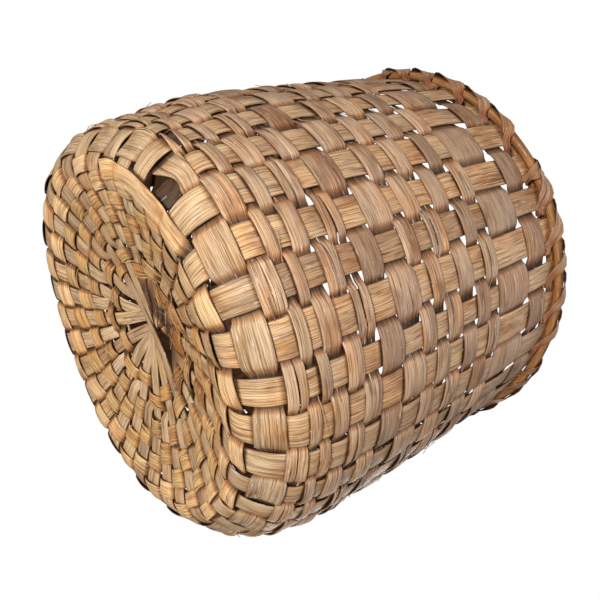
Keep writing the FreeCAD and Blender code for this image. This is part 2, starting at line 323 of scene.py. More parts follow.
# Layers that darken or tint the wood: how strongly, and the colours that a value turns into.
LINE_LAYER = (0.8, [(0.36, LINE_BROWN), (0.46, (0.56, 0.46, 0.39)), (0.55, WHITE)])
SPLIT_LAYER = (0.85, [(0.468, WHITE), (0.488, LINE_BROWN), (0.508, WHITE)])
STAIN_LAYER = (0.9, [(0.52, WHITE), (0.7, (0.64, 0.5, 0.4))])
HUE_LAYER = (1.0, [(0.36, (0.96, 0.98, 0.96)), (0.48, WHITE), (0.64, (1.0, 0.88, 0.75))])
# Painted shade along the edges of each strip, where it meets and goes under its neighbours.
EDGE_SHADE_LAYER = (0.6, [(0.92, WHITE), (0.98, (0.2, 0.14, 0.1))])
TINT_LAYER = (1.0, [(0.0, (0.7, 0.64, 0.6)), (0.4, WHITE), (0.7, (1.0, 0.94, 0.86)), (1.0, WHITE)])
# The shade layer turns painted shade into colour: an orange-brown stain at middle values, and near-black
# painted shade at full.
SHADE_LAYER = (0.9, [(0.0, WHITE), (0.4, (0.7, 0.5, 0.36)), (1.0, (0.06, 0.035, 0.02))])
# Between these heights the wood grows paler and yellower toward the base, by this tone.
PALE_BELOW = (18 * MM, 50 * MM)
PALE_TONE = (1.16, 1.22, 1.2, 1.0)
# Relief of the lines and the bands: strength and depth.
LINE_RELIEF = (0.55, 0.22 * MM)
BAND_RELIEF = (0.6, 0.6 * MM)
ROUGHER_PATCHES = 0.3
SPECULAR_LEVEL = 0.22


def splint_material(name, light, middle, grey, smooth, paling):
    """Split wood: fine dark lines and bands along the strip, weathered patches, and painted shade at the
    edges and where parts cover each other.
    """
    material = bpy.data.materials.new(name)
    material.use_nodes = True
    tree = material.node_tree
    shader = tree.nodes["Principled BSDF"]
    links = tree.links.new
    strip = tree.nodes.new("ShaderNodeUVMap")
    strip.uv_map = "strip"
    place = tree.nodes.new("ShaderNodeSeparateXYZ")
    links(strip.outputs["UV"], place.inputs["Vector"])
    tone = tree.nodes.new("ShaderNodeAttribute")
    tone.attribute_name = "splint"
    parts = tree.nodes.new("ShaderNodeSeparateColor")
    links(tone.outputs["Color"], parts.inputs["Color"])

    def streaks(noise, side=place.outputs["Y"]):
        along, across, depth, detail, roughness = noise
        vector = tree.nodes.new("ShaderNodeCombineXYZ")
        links(calculated(tree, "MULTIPLY", place.outputs["X"], along), vector.inputs["X"])
        links(calculated(tree, "MULTIPLY", side, across), vector.inputs["Y"])
        links(calculated(tree, "MULTIPLY", parts.outputs["Blue"], depth), vector.inputs["Z"])
        texture = tree.nodes.new("ShaderNodeTexNoise")
        texture.inputs["Scale"].default_value = 1.0
        texture.inputs["Detail"].default_value = detail
        texture.inputs["Roughness"].default_value = roughness
        links(vector.outputs["Vector"], texture.inputs["Vector"])
        return texture.outputs["Fac"]

    wavy = calculated(tree, "MULTIPLY_ADD", streaks(WAVER), WAVER_WIDTH, place.outputs["Y"])
    bands = streaks(BANDS, wavy)
    lines = streaks(LINES, wavy)
    patches = streaks(PATCHES)
    wood = ramp(tree, bands, list(zip(BAND_STOPS, (middle, light, middle, light))))
    grey_wood = ramp(tree, bands, [(BAND_STOPS[0], grey), (BAND_STOPS[-1], middle)])
    color = mixed(tree, "MIX", ramp(tree, patches, PATCH_STOPS), wood, grey_wood)
    layers = (
        (lines, LINE_LAYER),
        (streaks(SPLITS, wavy), SPLIT_LAYER),
        (streaks(STAINS), STAIN_LAYER),
        (streaks(HUES), HUE_LAYER),
        (parts.outputs["Green"], EDGE_SHADE_LAYER),
        (parts.outputs["Red"], TINT_LAYER),
        (tone.outputs["Alpha"], SHADE_LAYER),
    )
    for source, (share, stops) in layers:
        color = mixed(tree, "MULTIPLY", share, color, ramp(tree, source, stops))
    spot = tree.nodes.new("ShaderNodeNewGeometry")
    height = tree.nodes.new("ShaderNodeSeparateXYZ")
    links(spot.outputs["Position"], height.inputs["Vector"])
    low = mapped(tree, height.outputs["Z"], PALE_BELOW, (paling, 0.0))
    paled = mixed(tree, "MIX", low, (*WHITE, 1.0), PALE_TONE)
    color = mixed(tree, "MULTIPLY", 1.0, color, paled)
    color = mixed(tree, "MIX", ramp(tree, streaks(SCUFFS), SCUFF_STOPS), color, SCUFFED_WOOD)
    links(color, shader.inputs["Base Color"])

    rough = mapped(tree, patches, (0.0, 1.0), (smooth, smooth + ROUGHER_PATCHES), "LINEAR")
    links(rough, shader.inputs["Roughness"])
    normal = None
    for source, (strength, depth) in ((lines, LINE_RELIEF), (bands, BAND_RELIEF)):
        relief = tree.nodes.new("ShaderNodeBump")
        relief.inputs["Strength"].default_value = strength
        relief.inputs["Distance"].default_value = depth
        links(source, relief.inputs["Height"])
        if normal is not None:
            links(normal, relief.inputs["Normal"])
        normal = relief.outputs["Normal"]
    links(normal, shader.inputs["Normal"])
    shader.inputs["Specular IOR Level"].default_value = SPECULAR_LEVEL
    return material


# Each wood: light, middle and weathered tones, its least roughness, and how much it pales toward the base.
WOODS = {
    "stake_wood": ((0.575, 0.4, 0.238), (0.463, 0.305, 0.177), (0.42, 0.296, 0.207), 0.36, 1.0),
    "base_row_wood": ((0.69, 0.45, 0.2), (0.56, 0.34, 0.135), (0.5, 0.335, 0.17), 0.44, 0.0),
    "resting_row_wood": ((0.82, 0.6, 0.345), (0.7, 0.48, 0.25), (0.62, 0.46, 0.3), 0.5, 0.0),
    "corner_row_wood": ((0.64, 0.475, 0.3), (0.53, 0.38, 0.232), (0.48, 0.365, 0.265), 0.6, 0.6),
    "wall_row_wood": ((0.518, 0.36, 0.236), (0.436, 0.294, 0.189), (0.402, 0.298, 0.236), 0.4, 0.6),
    "hoop_wood": ((0.52, 0.26, 0.08), (0.38, 0.18, 0.06), (0.32, 0.17, 0.07), 0.4, 0.0),
    "lashing_wood": ((0.52, 0.325, 0.185), (0.42, 0.245, 0.135), (0.38, 0.24, 0.17), 0.42, 0.0),
}
woods = {name: splint_material(name, *tones) for name, tones in WOODS.items()}

# Stakes: where each stands round the wall, and its width there in millimetres.
STAKE_SHIFT = 0.5 * math.pi / 180
STAKE_WIDTHS = (13.2, 16.8)
# Widths seen on the near side, counted from the stake that faces the camera.
SEEN_WIDTHS = {-4: 13.5, -3: 14.0, -2: 16.5, -1: 15.0, 0: 14.0, 1: 17.5, 2: 13.0, 3: 17.5, 4: 17.0}
stake_angles = np.arange(STAKES) * STAKE_STEP + rng.uniform(-STAKE_SHIFT, STAKE_SHIFT, STAKES)
stake_widths = rng.uniform(*STAKE_WIDTHS, STAKES) * MM
for number, width in SEEN_WIDTHS.items():
    stake_widths[number % STAKES] = width * MM

# Rows

# How the rows of the wall and the corner behave:
# strands: how many strips lie side by side; spread: how far they press over the gap that the solids keep;
# swing: how far a row goes to each side of the stakes; bend: the power of that wave, less being squarer;
# tilt: how much it leans across its width; shift: how far it has slipped up the profile;
# pinch: the share of its width that is lost behind a stake; skew: how far it slants between stakes;
# tuck: where in the wave its painted shade begins; slivers and fibres: how many have come loose;
# stiff: it stays flat round the corner; float_over: the stakes it floats over;
# torn: the arm where it is torn, how far round, and the share lost.
WALL_HABITS = {
    "wood": "wall_row_wood", "strands": 1, "spread": 0.9 * MM, "swing": 1.5 * MM, "bend": 0.48,
    "tilt": 0.7 * MM, "shift": 0.0, "pinch": 0.06, "skew": 0.0, "tuck": 0.05, "slivers": 14, "fibres": 0,
    "stiff": False, "float_over": None, "torn": None,
}
BASE_HABITS = {
    **WALL_HABITS, "wood": "base_row_wood", "pinch": 0.28, "skew": 1.0 * MM, "tuck": 0.34, "slivers": 8,
}
HABITS = {"wall_row_wood": WALL_HABITS, "base_row_wood": BASE_HABITS}
# What sets single rows apart. No sliver may reach below the floor, so the lowest rows have none.
OWN_HABITS = {
    "base_row_1": {"fibres": 26},
    "base_row_2": {"fibres": 26},
    "base_row_6": {"wood": "resting_row_wood", "pinch": 0.4, "slivers": 0},
    "resting_row": {
        "wood": "resting_row_wood", "pinch": 0.42, "slivers": 0, "spread": 1.2 * MM, "shift": -1.0 * MM,
        "stiff": True, "float_over": (-5.7, -2.3),
    },
    "corner_row_1": {
        "wood": "corner_row_wood", "swing": 1.65 * MM, "bend": 0.32, "tilt": 0.3 * MM, "slivers": 0,
        "stiff": True, "torn": (-2.75, 0.4, 0.5),
    },
    "corner_row_2": {"strands": 2, "stiff": True, "torn": (-4.5, 0.55, 0.65)},
    "wall_row_3": {"strands": 2},
    "wall_row_4": {"strands": 2},
    "wall_row_7": {"strands": 2},
    "wall_row_9": {"strands": 3},
    "wall_row_12": {"strands": 2},
}


class Row:
    """One woven row: where it starts along the profile, its width, and which stakes it passes outside."""

    def __init__(self, node, start, width, parity, slot, arms=STAKES):
        self.node = node
        self.start = start
        self.width = width
        self.parity = parity
        self.slot = slot
        self.arms = arms
        self.middle = start + width / 2
        vars(self).update(HABITS[slot])
        vars(self).update(OWN_HABITS.get(node, {}))
        self.full_width = width + self.spread


# Rows of the dish inward from the resting row, and rows of the corner and wall upward from it.
RESTING_WIDTH = 10.0 * MM
LAYER_STEP = 6.0 * MM
CORNER_GAP = 4.0 * MM
OUTER_BASE_ROWS = (6, 5, 4, 3)
OUTER_BASE_WIDTH = 10.2 * MM
INNER_BASE_ROWS = (2, 1)
INNER_BASE_WIDTH = 7.5 * MM
CORNER_ROOM = wall_length - bottom_length - RESTING_WIDTH / 2 - CORNER_GAP - 2 * ROW_GAP
CORNER_WIDTHS = [0.6 * CORNER_ROOM, 0.4 * CORNER_ROOM, 6.0 * MM]
WALL_ROWS = 14


def base_rows():
    """The rows of the dish, from the crossing outward, and the resting row."""
    edge = bottom_length + RESTING_WIDTH / 2
    found = [Row("resting_row", edge - RESTING_WIDTH, RESTING_WIDTH, 0, "base_row_wood")]
    for number in OUTER_BASE_ROWS:
        start = found[-1].start - ROW_GAP - OUTER_BASE_WIDTH
        found.append(Row(f"base_row_{number}", start, OUTER_BASE_WIDTH, (number + 1) % 2, "base_row_wood"))
    start = found[-1].start - ROW_GAP - LAYER_STEP
    for number in INNER_BASE_ROWS:
        start -= INNER_BASE_WIDTH
        node = f"base_row_{number}"
        found.append(Row(node, start, INNER_BASE_WIDTH, number % 2, "base_row_wood", STAKES // 2))
        start -= ROW_GAP
    return found[::-1]


def corner_and_wall_rows():
    """The rows above the resting row, upward."""
    start = bottom_length + RESTING_WIDTH / 2 + CORNER_GAP
    found = []
    for number, width in enumerate(CORNER_WIDTHS, start=1):
        found.append(Row(f"corner_row_{number}", start, width, number % 2, "wall_row_wood"))
        start += width + ROW_GAP
    for number in range(1, WALL_ROWS + 1):
        node = f"wall_row_{number}"
        low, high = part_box(node)
        start = wall_length + low.z - corner_z
        found.append(Row(node, start, high.z - low.z, 1 - number % 2, "wall_row_wood"))
    return found


rows = base_rows() + corner_and_wall_rows()
full_rows = [row for row in rows if row.arms == STAKES]
weave_top = full_rows[-1].start + full_rows[-1].width
step_end = full_rows[0].start - ROW_GAP
step_end_radius = dome_radius * math.sin(step_end / dome_radius)


def arm_phase(angle, arms):
    """The number of the arm at an angle, counted in fractions between arms."""
    step = STAKES // arms
    angles = stake_angles[::step]
    known = np.concatenate([angles - 2 * math.pi, angles, angles + 2 * math.pi])
    numbers = np.arange(-arms, 2 * arms)
    return np.interp(angle, known, numbers)


# Painted shade over the whole inside of the basket.
INSIDE_PAINTED_SHADE = 0.36
# Darkening in the hollow of the dish: how much, and along the profile where it starts and ends, and over
# what.
HOLLOW_DARKENING = 0.95
HOLLOW_FROM = 3 * MM
HOLLOW_RISE = 6 * MM
HOLLOW_TO = 24 * MM
HOLLOW_FALL = 22 * MM
# It lies toward the camera: the cosine of the angle where it starts, and over what.
HOLLOW_SIDE = 0.1
HOLLOW_SIDE_OVER = 0.5


def hollow_darkening(length, angle):
    """Darkening in the hollow of the dish beside the crossing, on the side towards the camera."""
    side = ease((np.cos(angle) - HOLLOW_SIDE) / HOLLOW_SIDE_OVER)
    rise = ease((length - HOLLOW_FROM) / HOLLOW_RISE)
    return HOLLOW_DARKENING * side * rise * (1 - ease((length - HOLLOW_TO) / HOLLOW_FALL))


# Slivers: samples, then ranges in millimetres of length, lift at the tip and half width.
SLIVER_SAMPLES = 14
SLIVER_LENGTHS = (10.0, 24.0)
SLIVER_LIFTS = (0.6, 2.2)
SLIVER_HALF_WIDTHS = (0.3, 0.7)
SLIVER_HALF_THICKNESS = 0.14 * MM
# How far from the middle of the row they start, how far they splay and how much they taper.
SLIVER_EDGES = (0.2, 1.0)
SLIVER_SPLAY = 0.25
SLIVER_TAPER = 0.75
# Fibres are slivers of the innermost rows, thinner and only on the side towards the camera.
FIBRE_AROUND = 1.1
FIBRE_THINNESS = 2.0


def make_sliver(row, angle, swing, around, thinness):
    """A thin splinter that has come loose from a row's edge and lifts away at its tip."""
    start = rng.uniform(-around, around)
    reach = rng.uniform(*SLIVER_LENGTHS) * MM / surface(row.middle, 0.0, 0.0)[0] * rng.choice([-1, 1])
    share = np.linspace(0, 1, SLIVER_SAMPLES)
    at = start + reach * share
    level = np.interp(at, angle, swing, period=2 * math.pi)
    lift = rng.uniform(*SLIVER_LIFTS) * MM * thinness * share**2
    edge = rng.choice([-1, 1]) * rng.uniform(*SLIVER_EDGES)
    middle = row.middle + row.shift + edge * row.full_width / 2 * (1 + SLIVER_SPLAY * share**2)
    half_width = rng.uniform(*SLIVER_HALF_WIDTHS) * MM / thinness * (1 - SLIVER_TAPER * share)
    length = middle[:, None] + ACROSS[None] * half_width[:, None]
    offset = (level + ROW_THICKNESS / 2 + lift)[:, None]
    half = SLIVER_HALF_THICKNESS * FULLNESS[None]
    outer = surface(length, at[:, None], offset + half)
    inner = surface(length, at[:, None], offset - half)
    along = running_length(outer[:, MIDDLE], False)
    bare = np.zeros(SLIVER_SAMPLES)
    return outer, inner, along, half_width, False, bare, bare


SAMPLES_PER_ARM = 9
# How far rows wander up and down, how much their widths and their ripple vary, and how far they crown.
ROW_DRIFT = 1.25 * MM
ROW_UNEVEN = 0.12
ROW_RIPPLE = 0.12 * MM
ROW_CROWN = 0.18 * MM
# Strands that lie side by side are this share of their room, and vary by this share.
STRAND_WIDTH = 0.97
STRAND_UNEVEN = 0.1
# The level of a floating row in the wave, and how much of a stake gap its ends take.
FLOAT_LEVEL = 0.85
FLOAT_ENDS = 0.6
# Where in the wave a row goes under or over, and how softly; and how softly its painted shade ends.
PASS_LEVEL = 0.1
PASS_SOFT = 0.7
TUCK_SOFT = 0.36
# How far a stiff row's middle sinks into the corner, as a share of what its edges stand out.
STIFF_SINK = 0.3


def make_row(row):
    """A row, swinging outside one stake and inside the next, as one or more strands."""
    count = row.arms * SAMPLES_PER_ARM
    # Each strip is joined at the back, so its grain runs on unbroken round the front.
    angle = np.linspace(-math.pi, math.pi, count, endpoint=False)
    arm = arm_phase(angle, row.arms)
    phase = math.pi * (arm + row.parity)
    wave = np.cos(phase)
    floating = np.zeros(count)
    if row.float_over:
        float_from, float_to = row.float_over
        floating = ease((arm - float_from) / FLOAT_ENDS) * ease((float_to - arm) / FLOAT_ENDS)
        wave = wave + (FLOAT_LEVEL - wave) * floating
    swing = row.swing * np.sign(wave) * np.abs(wave) ** row.bend
    drift = ROW_DRIFT * wander(count, row.arms // 2, True) + row.skew * np.sin(phase) * (1 - floating)
    under = ease((PASS_LEVEL - wave) / PASS_SOFT)
    over = ease((PASS_LEVEL + wave) / PASS_SOFT)
    # Painted shade where the row goes behind a stake, joined by the darkening in the hollow of the dish.
    tucked = ease((row.tuck - wave) / TUCK_SOFT)
    tucked = np.maximum(tucked, hollow_darkening(np.full(count, row.middle), angle))
    strands = []
    edges = np.linspace(-1, 1, row.strands + 1)
    for number in range(row.strands):
        middle_share = (edges[number] + edges[number + 1]) / 2
        uneven = ROW_UNEVEN * wander(count, row.arms, True) * (1 - floating)
        width = row.full_width / row.strands * (1 + uneven)
        width = width * (1 - row.pinch * under)
        if row.strands > 1:
            width = width * (STRAND_WIDTH + STRAND_UNEVEN * wander(count, row.arms // 2, True))
        middle = row.middle + row.shift + middle_share * row.full_width / 2 + drift
        tilt = row.tilt * wander(count, row.arms, True) * (1 - floating)
        ripple = ROW_RIPPLE * wander(count, row.arms * 2, True)
        if row.torn:
            torn_arm, torn_reach, lost = row.torn
            torn = bump(arm, torn_arm, torn_reach)
            width = width * (1 - lost * torn)
            middle = middle + lost / 2 * row.full_width / row.strands * torn
        length = middle[:, None] + ACROSS[None] * width[:, None] / 2
        offset = (swing + ripple)[:, None] + tilt[:, None] * ACROSS[None]
        offset = offset + ROW_CROWN * (0.5 - ACROSS[None] ** 2)
        if row.stiff:
            # A wide strip stays flat across its width where the basket turns its corner.
            lean = ACROSS[None] * width[:, None] / 2 / CORNER_RADIUS
            offset = offset + CORNER_RADIUS * (1 / np.cos(lean) - 1 - STIFF_SINK * lean.max() ** 2)
        half = ROW_THICKNESS / 2 * FULLNESS[None]
        outer = surface(length, angle[:, None], offset + half)
        inner = surface(length, angle[:, None], offset - half)
        along = running_length(outer[:, MIDDLE], True)
        # The inner side takes painted shade where a stake lies against it, and painted shade all over the
        # inside.
        strands.append((outer, inner, along, width / 2, True, tucked, np.maximum(over, INSIDE_PAINTED_SHADE)))
    for _ in range(row.slivers):
        strands.append(make_sliver(row, angle, swing, math.pi, 1.0))
    for _ in range(row.fibres):
        strands.append(make_sliver(row, angle, swing, FIBRE_AROUND, FIBRE_THINNESS))
    piece = strip_mesh(f"woven_{row.node}", strands, woods[row.wood])
    place_piece(piece, row.node)


for row in rows:
    make_row(row)

# Stakes

# The room between samples along a stake.
STAKE_SPACING = 1.6 * MM
# How far stakes give way to the rows, how far they crown, and where above the weave they are straight.
STAKE_SWING = 0.35 * MM
STAKE_CROWN = 0.2 * MM
STRAIGHT_ABOVE = 12 * MM
# A stake that has slipped inward at the corner: its number, how deep, where and over what length.
SUNK_STAKE = -3
SUNK_DEPTH = 4.5 * MM
SUNK_PLACE = bottom_length + 10 * MM
SUNK_SPREAD = 7 * MM
# The sunk stake is painted with shade, this many times its sinking, so that it lies dark in its hole.
SUNK_PAINTED_SHADE = 2.5
# The soft painted shade beside a row: where it starts inside the row's edge, and how far it reaches.
SHADE_INSIDE = 0.4 * MM
SHADE_REACH = 1.5 * MM
# The stakes darken under the rim: how much, where above the weave, and over what length.
TOP_SHADE = 0.45
TOP_SHADE_ABOVE = 4 * MM
TOP_SHADE_OVER = 5 * MM


def sunk(length, arm):
    """How far a stake that has slipped inward lies below the others, at the corner."""
    if arm != SUNK_STAKE % STAKES:
        return np.zeros_like(length)
    return bump(length, SUNK_PLACE, SUNK_SPREAD)


def stake_offsets(length, arm):
    """How a stake gives way to the rows that pass it, along its length."""
    places = [0.0]
    values = [0.0]
    for row in full_rows:
        outside = arm % 2 == row.parity
        places.append(row.middle)
        values.append(-STAKE_SWING if outside else STAKE_SWING)
    places.append(weave_top + STRAIGHT_ABOVE)
    values.append(0.0)
    index = np.interp(length, places, np.arange(len(places)))
    whole = np.minimum(np.floor(index).astype(int), len(places) - 2)
    share = ease(index - whole)
    values = np.asarray(values)
    return values[whole] * (1 - share) + values[whole + 1] * share - SUNK_DEPTH * sunk(length, arm)


def stake_shade(length, arm, outside):
    """How much of a stake's side is covered by rows, along its length, as painted shade with a soft edge
    beside each.
    """
    shade = np.full_like(length, 0.0 if outside else INSIDE_PAINTED_SHADE)
    for row in full_rows:
        covers = (arm % 2 == row.parity) == outside
        if covers:
            away = np.abs(length - row.middle) - row.width / 2
            shade = np.maximum(shade, 1 - ease((away + SHADE_INSIDE) / SHADE_REACH))
    shade = np.maximum(shade, np.minimum(SUNK_PAINTED_SHADE * sunk(length, arm), 1.0))
    shade = np.maximum(shade, hollow_darkening(length, stake_angles[arm]))
    return np.maximum(shade, TOP_SHADE * ease((length - weave_top - TOP_SHADE_ABOVE) / TOP_SHADE_OVER))


# A stake's width where all cross and at its waist in the dish, and the radii where it reaches each.
CROSSING_WIDTH = 4.6 * MM
WAIST_WIDTH = 8.0 * MM
WAIST_RADIUS = 30 * MM
FULL_WIDTH_RADIUS = 118 * MM
# Past this length along the profile every stake has its full width.
FULL_WIDTH_LENGTH = bottom_length + 20 * MM


def stake_half_width(length, full_width):
    """Half a stake's width: a narrow waist in the dish, the full width from the corner up."""
    radius = np.hypot(*np.moveaxis(surface(length, 0.0, 0.0), -1, 0)[:2])
    share = np.clip((radius - step_end_radius) / (FULL_WIDTH_RADIUS - step_end_radius), 0, 1)
    share = np.where(length > FULL_WIDTH_LENGTH, 1.0, share)
    waist = CROSSING_WIDTH + (WAIST_WIDTH - CROSSING_WIDTH) * ease(radius / WAIST_RADIUS)
    return (waist + (full_width - waist) * share) / 2


def stake_points(length, side_shift, half_width, lift, angle):
    """Outer and inner grids of a flat stake that stands at an angle."""
    across = side_shift[:, None] + ACROSS[None] * half_width[:, None]
    cosine = math.cos(angle)
    sine = math.sin(angle)
    turn = np.array([[cosine, sine, 0], [-sine, cosine, 0], [0, 0, 1]])
    grids = []
    for side in (1, -1):
        half = side * SPLINT_THICKNESS / 2 * FULLNESS[None]
        crown = STAKE_CROWN * (0.5 - ACROSS[None] ** 2)
        offset = lift[:, None] + crown + half
        flat = surface(length[:, None], 0.0, offset)
        flat[..., 1] += across
        grids.append(flat @ turn)
    return grids


# How stakes vary in width and sway from side to side, and how many turns that takes up their length.
STAKE_UNEVEN = 0.05
STAKE_UNEVEN_TURNS = 14
STAKE_SWAY = 0.5 * MM
STAKE_SWAY_TURNS = 10


def wandering_width(arm, length):
    """Half the width of a stake along its length, a little uneven."""
    full = stake_widths[arm] * (1 + STAKE_UNEVEN * wander(len(length), STAKE_UNEVEN_TURNS, False))
    return stake_half_width(length, full)


# Where the long splints cross, they lie in a stack, flat to a length and then down into the weave.
STACK_PITCH = 0.95 * MM
STACK_FLAT = 8 * MM
WEAVE_START = rows[0].start - ROW_GAP
# The splint that lies on the outside of the stack.
OUTERMOST = 4
# Long splints bow to one side near the crossing, in millimetres, and sway only further out.
BOW = 3.0
BOW_OVER = 45 * MM
SWAY_OVER = 60 * MM


def make_long_splint(number):
    """A long splint: up one side of the wall, under the base and up the other."""
    arms = (2 * number, 2 * number + STAKES // 2)
    halves = []
    level = (number - OUTERMOST) % LONG_SPLINTS
    bow = rng.uniform(-BOW, BOW) * MM
    count = int(stake_length / STAKE_SPACING)
    for way, arm in ((-1, arms[1]), (1, arms[0])):
        length = np.linspace(0.0, stake_length, count)
        stack = level * STACK_PITCH * (1 - ease((length - STACK_FLAT) / (WEAVE_START - STACK_FLAT)))
        lift = stake_offsets(length, arm) - stack
        half_width = wandering_width(arm, length)
        bend = bow * way * (1 - ease(length / BOW_OVER))
        sway = STAKE_SWAY * wander(count, STAKE_SWAY_TURNS, False) * ease(length / SWAY_OVER)
        grids = stake_points(length, bend + sway, half_width, lift, stake_angles[arm])
        shades = [stake_shade(length, arm, outside) for outside in (True, False)]
        halves.append((grids, half_width, shades))
    (first, first_width, first_shades), (second, second_width, second_shades) = halves
    outer = np.concatenate([first[0][:0:-1, ::-1], second[0]])
    inner = np.concatenate([first[1][:0:-1, ::-1], second[1]])
    half_width = np.concatenate([first_width[:0:-1], second_width])
    shades = [np.concatenate([first_shades[side][:0:-1], second_shades[side]]) for side in range(2)]
    along = running_length(outer[:, MIDDLE], False)
    strand = (outer, inner, along, half_width, False, *shades)
    piece = strip_mesh(f"split_long_splint_{number + 1}", [strand], woods["stake_wood"])
    place_piece(piece, f"long_splint_{number + 1}")


# The tail of an added stake: where it starts along the profile, and how far inside the rows it lies.
TAIL_LENGTH = 14.5 * MM
TAIL_START = step_end - LAYER_STEP - TAIL_LENGTH
TAIL_LIFT = 3.0 * MM


def make_added_stake(place):
    """An added stake: its tail inside the first rows, then out along the dish and up the wall."""
    arm = 2 * place + 1
    count = int((stake_length - TAIL_START) / STAKE_SPACING)
    length = np.linspace(TAIL_START, stake_length, count)
    raised = 1 - ease((length - (step_end - LAYER_STEP)) / LAYER_STEP)
    lift = stake_offsets(length, arm) - TAIL_LIFT * raised
    half_width = wandering_width(arm, length)
    sway = STAKE_SWAY * wander(count, STAKE_SWAY_TURNS, False)
    grids = stake_points(length, sway, half_width, lift, stake_angles[arm])
    along = running_length(grids[0][:, MIDDLE], False)
    shades = [stake_shade(length, arm, outside) for outside in (True, False)]
    strand = (*grids, along, half_width, False, *shades)
    piece = strip_mesh(f"split_added_stake_{place + 1}", [strand], woods["stake_wood"])
    place_piece(piece, f"added_stake_{place + 1}")


for number in range(LONG_SPLINTS):
    make_long_splint(number)
for place in range(2 * LONG_SPLINTS):
    make_added_stake(place)

# The rim

OUTER_ROD = 5.5 * MM
INNER_ROD = 5.0 * MM
ROD_SAMPLES = STAKES * 6
# How a rod varies in thickness, height and radius, and how many turns that takes round the rim.
ROD_UNEVEN = 0.06
ROD_UNEVEN_TURNS = 40
ROD_RISE = 0.5 * MM
ROD_RISE_TURNS = 14
ROD_REACH = 0.25 * MM
ROD_REACH_TURNS = 18
# The grain of a rod is spread over this many times its radius.
ROD_GRAIN = 3


def rod_place(node, rod):
    """The radius and the height of a hoop's middle line. The CAD hoop has one straight side per stake."""
    low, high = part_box(node)
    return high.x * math.cos(STAKE_STEP / 2) - rod / 2, (low.z + high.z) / 2


def rod_points(radius, height, rod):
    """A rod bent into a ring, a little uneven in thickness and height."""
    count = ROD_SAMPLES
    angle = np.linspace(0, 2 * math.pi, count, endpoint=False)
    turn = np.linspace(0, 2 * math.pi, len(ACROSS) * 2, endpoint=False)
    thick = rod / 2 * (1 + ROD_UNEVEN * wander(count, ROD_UNEVEN_TURNS, True))
    high = height + ROD_RISE * wander(count, ROD_RISE_TURNS, True)
    reach = radius + ROD_REACH * wander(count, ROD_REACH_TURNS, True)
    ring_radius = reach[:, None] + thick[:, None] * np.cos(turn)[None]
    ring_height = high[:, None] + thick[:, None] * np.sin(turn)[None]
    cosine = np.cos(angle)[:, None]
    sine = np.sin(angle)[:, None]
    return np.stack([ring_radius * cosine, ring_radius * sine, ring_height], axis=-1), thick


def make_hoop(node, rod):
    """A hoop of the rim: one rod, bent into a ring."""
    grid, thick = rod_points(*rod_place(node, rod), rod)
    outer = grid[:, : len(ACROSS)]
    inner = grid[:, len(ACROSS):][:, ::-1]
    along = running_length(outer[:, 0], True)
    bare = np.zeros(ROD_SAMPLES)
    strand = (outer, inner, along, thick * ROD_GRAIN, True, bare, bare)
    piece = strip_mesh(f"bent_{node}", [strand], woods["hoop_wood"])
    place_piece(piece, node)


make_hoop("outer_rim_hoop", OUTER_ROD)
make_hoop("inner_rim_hoop", INNER_ROD)

LASHING_WIDTH = 8.0 * MM
LASHING_THICKNESS = 0.7 * MM
LASHING_CLEAR = 0.75 * MM
LASHING_UNEVEN = 0.2
TURN_SAMPLES = 28
# Each turn goes through the weave below the hoops: how deep in millimetres, how far out and how round.
FOOT_DEPTHS = (3.0, 8.5)
FOOT_OUT = 1.0 * MM
FOOT_SIZE = 0.8 * MM
# How far turns lean, in stake gaps, and by how much that varies.
LEAN = -0.4
LEAN_UNEVEN = 0.15
# The turn, in every six, that leans the other way and so crosses its neighbour.
TURN_CYCLE = 6
CROSSED_TURN = 4
CROSSED_LEAN = 0.55
# The shares of a turn in which it goes up outside, and comes down inside.
RISE_SHARE = 0.45
FALL_SHARE = 0.5
SMOOTHINGS = 2
# Where it turns through a gap it is pinched, by this share over this height, and shaded.
FOOT_PINCH = 0.45
FOOT_HEIGHT = 4 * MM
FOOT_SHADE = 0.5


def loop_round(circles, ways):
    """Points of a band drawn tight round circles, each a radius, a height and a size, facing given ways."""
    reach = np.stack([ways @ np.array(circle[:2]) + circle[2] for circle in circles])
    first = np.argmax(reach, axis=0)
    centres = np.array([circle[:2] for circle in circles])[first]
    sizes = np.array([circle[2] for circle in circles])[first]
    return centres + ways * sizes[:, None]


def smoothed(values):
    """Values with each drawn toward its neighbours, apart from the ends."""
    values[1:-1] = (values[:-2] + 2 * values[1:-1] + values[2:]) / 4


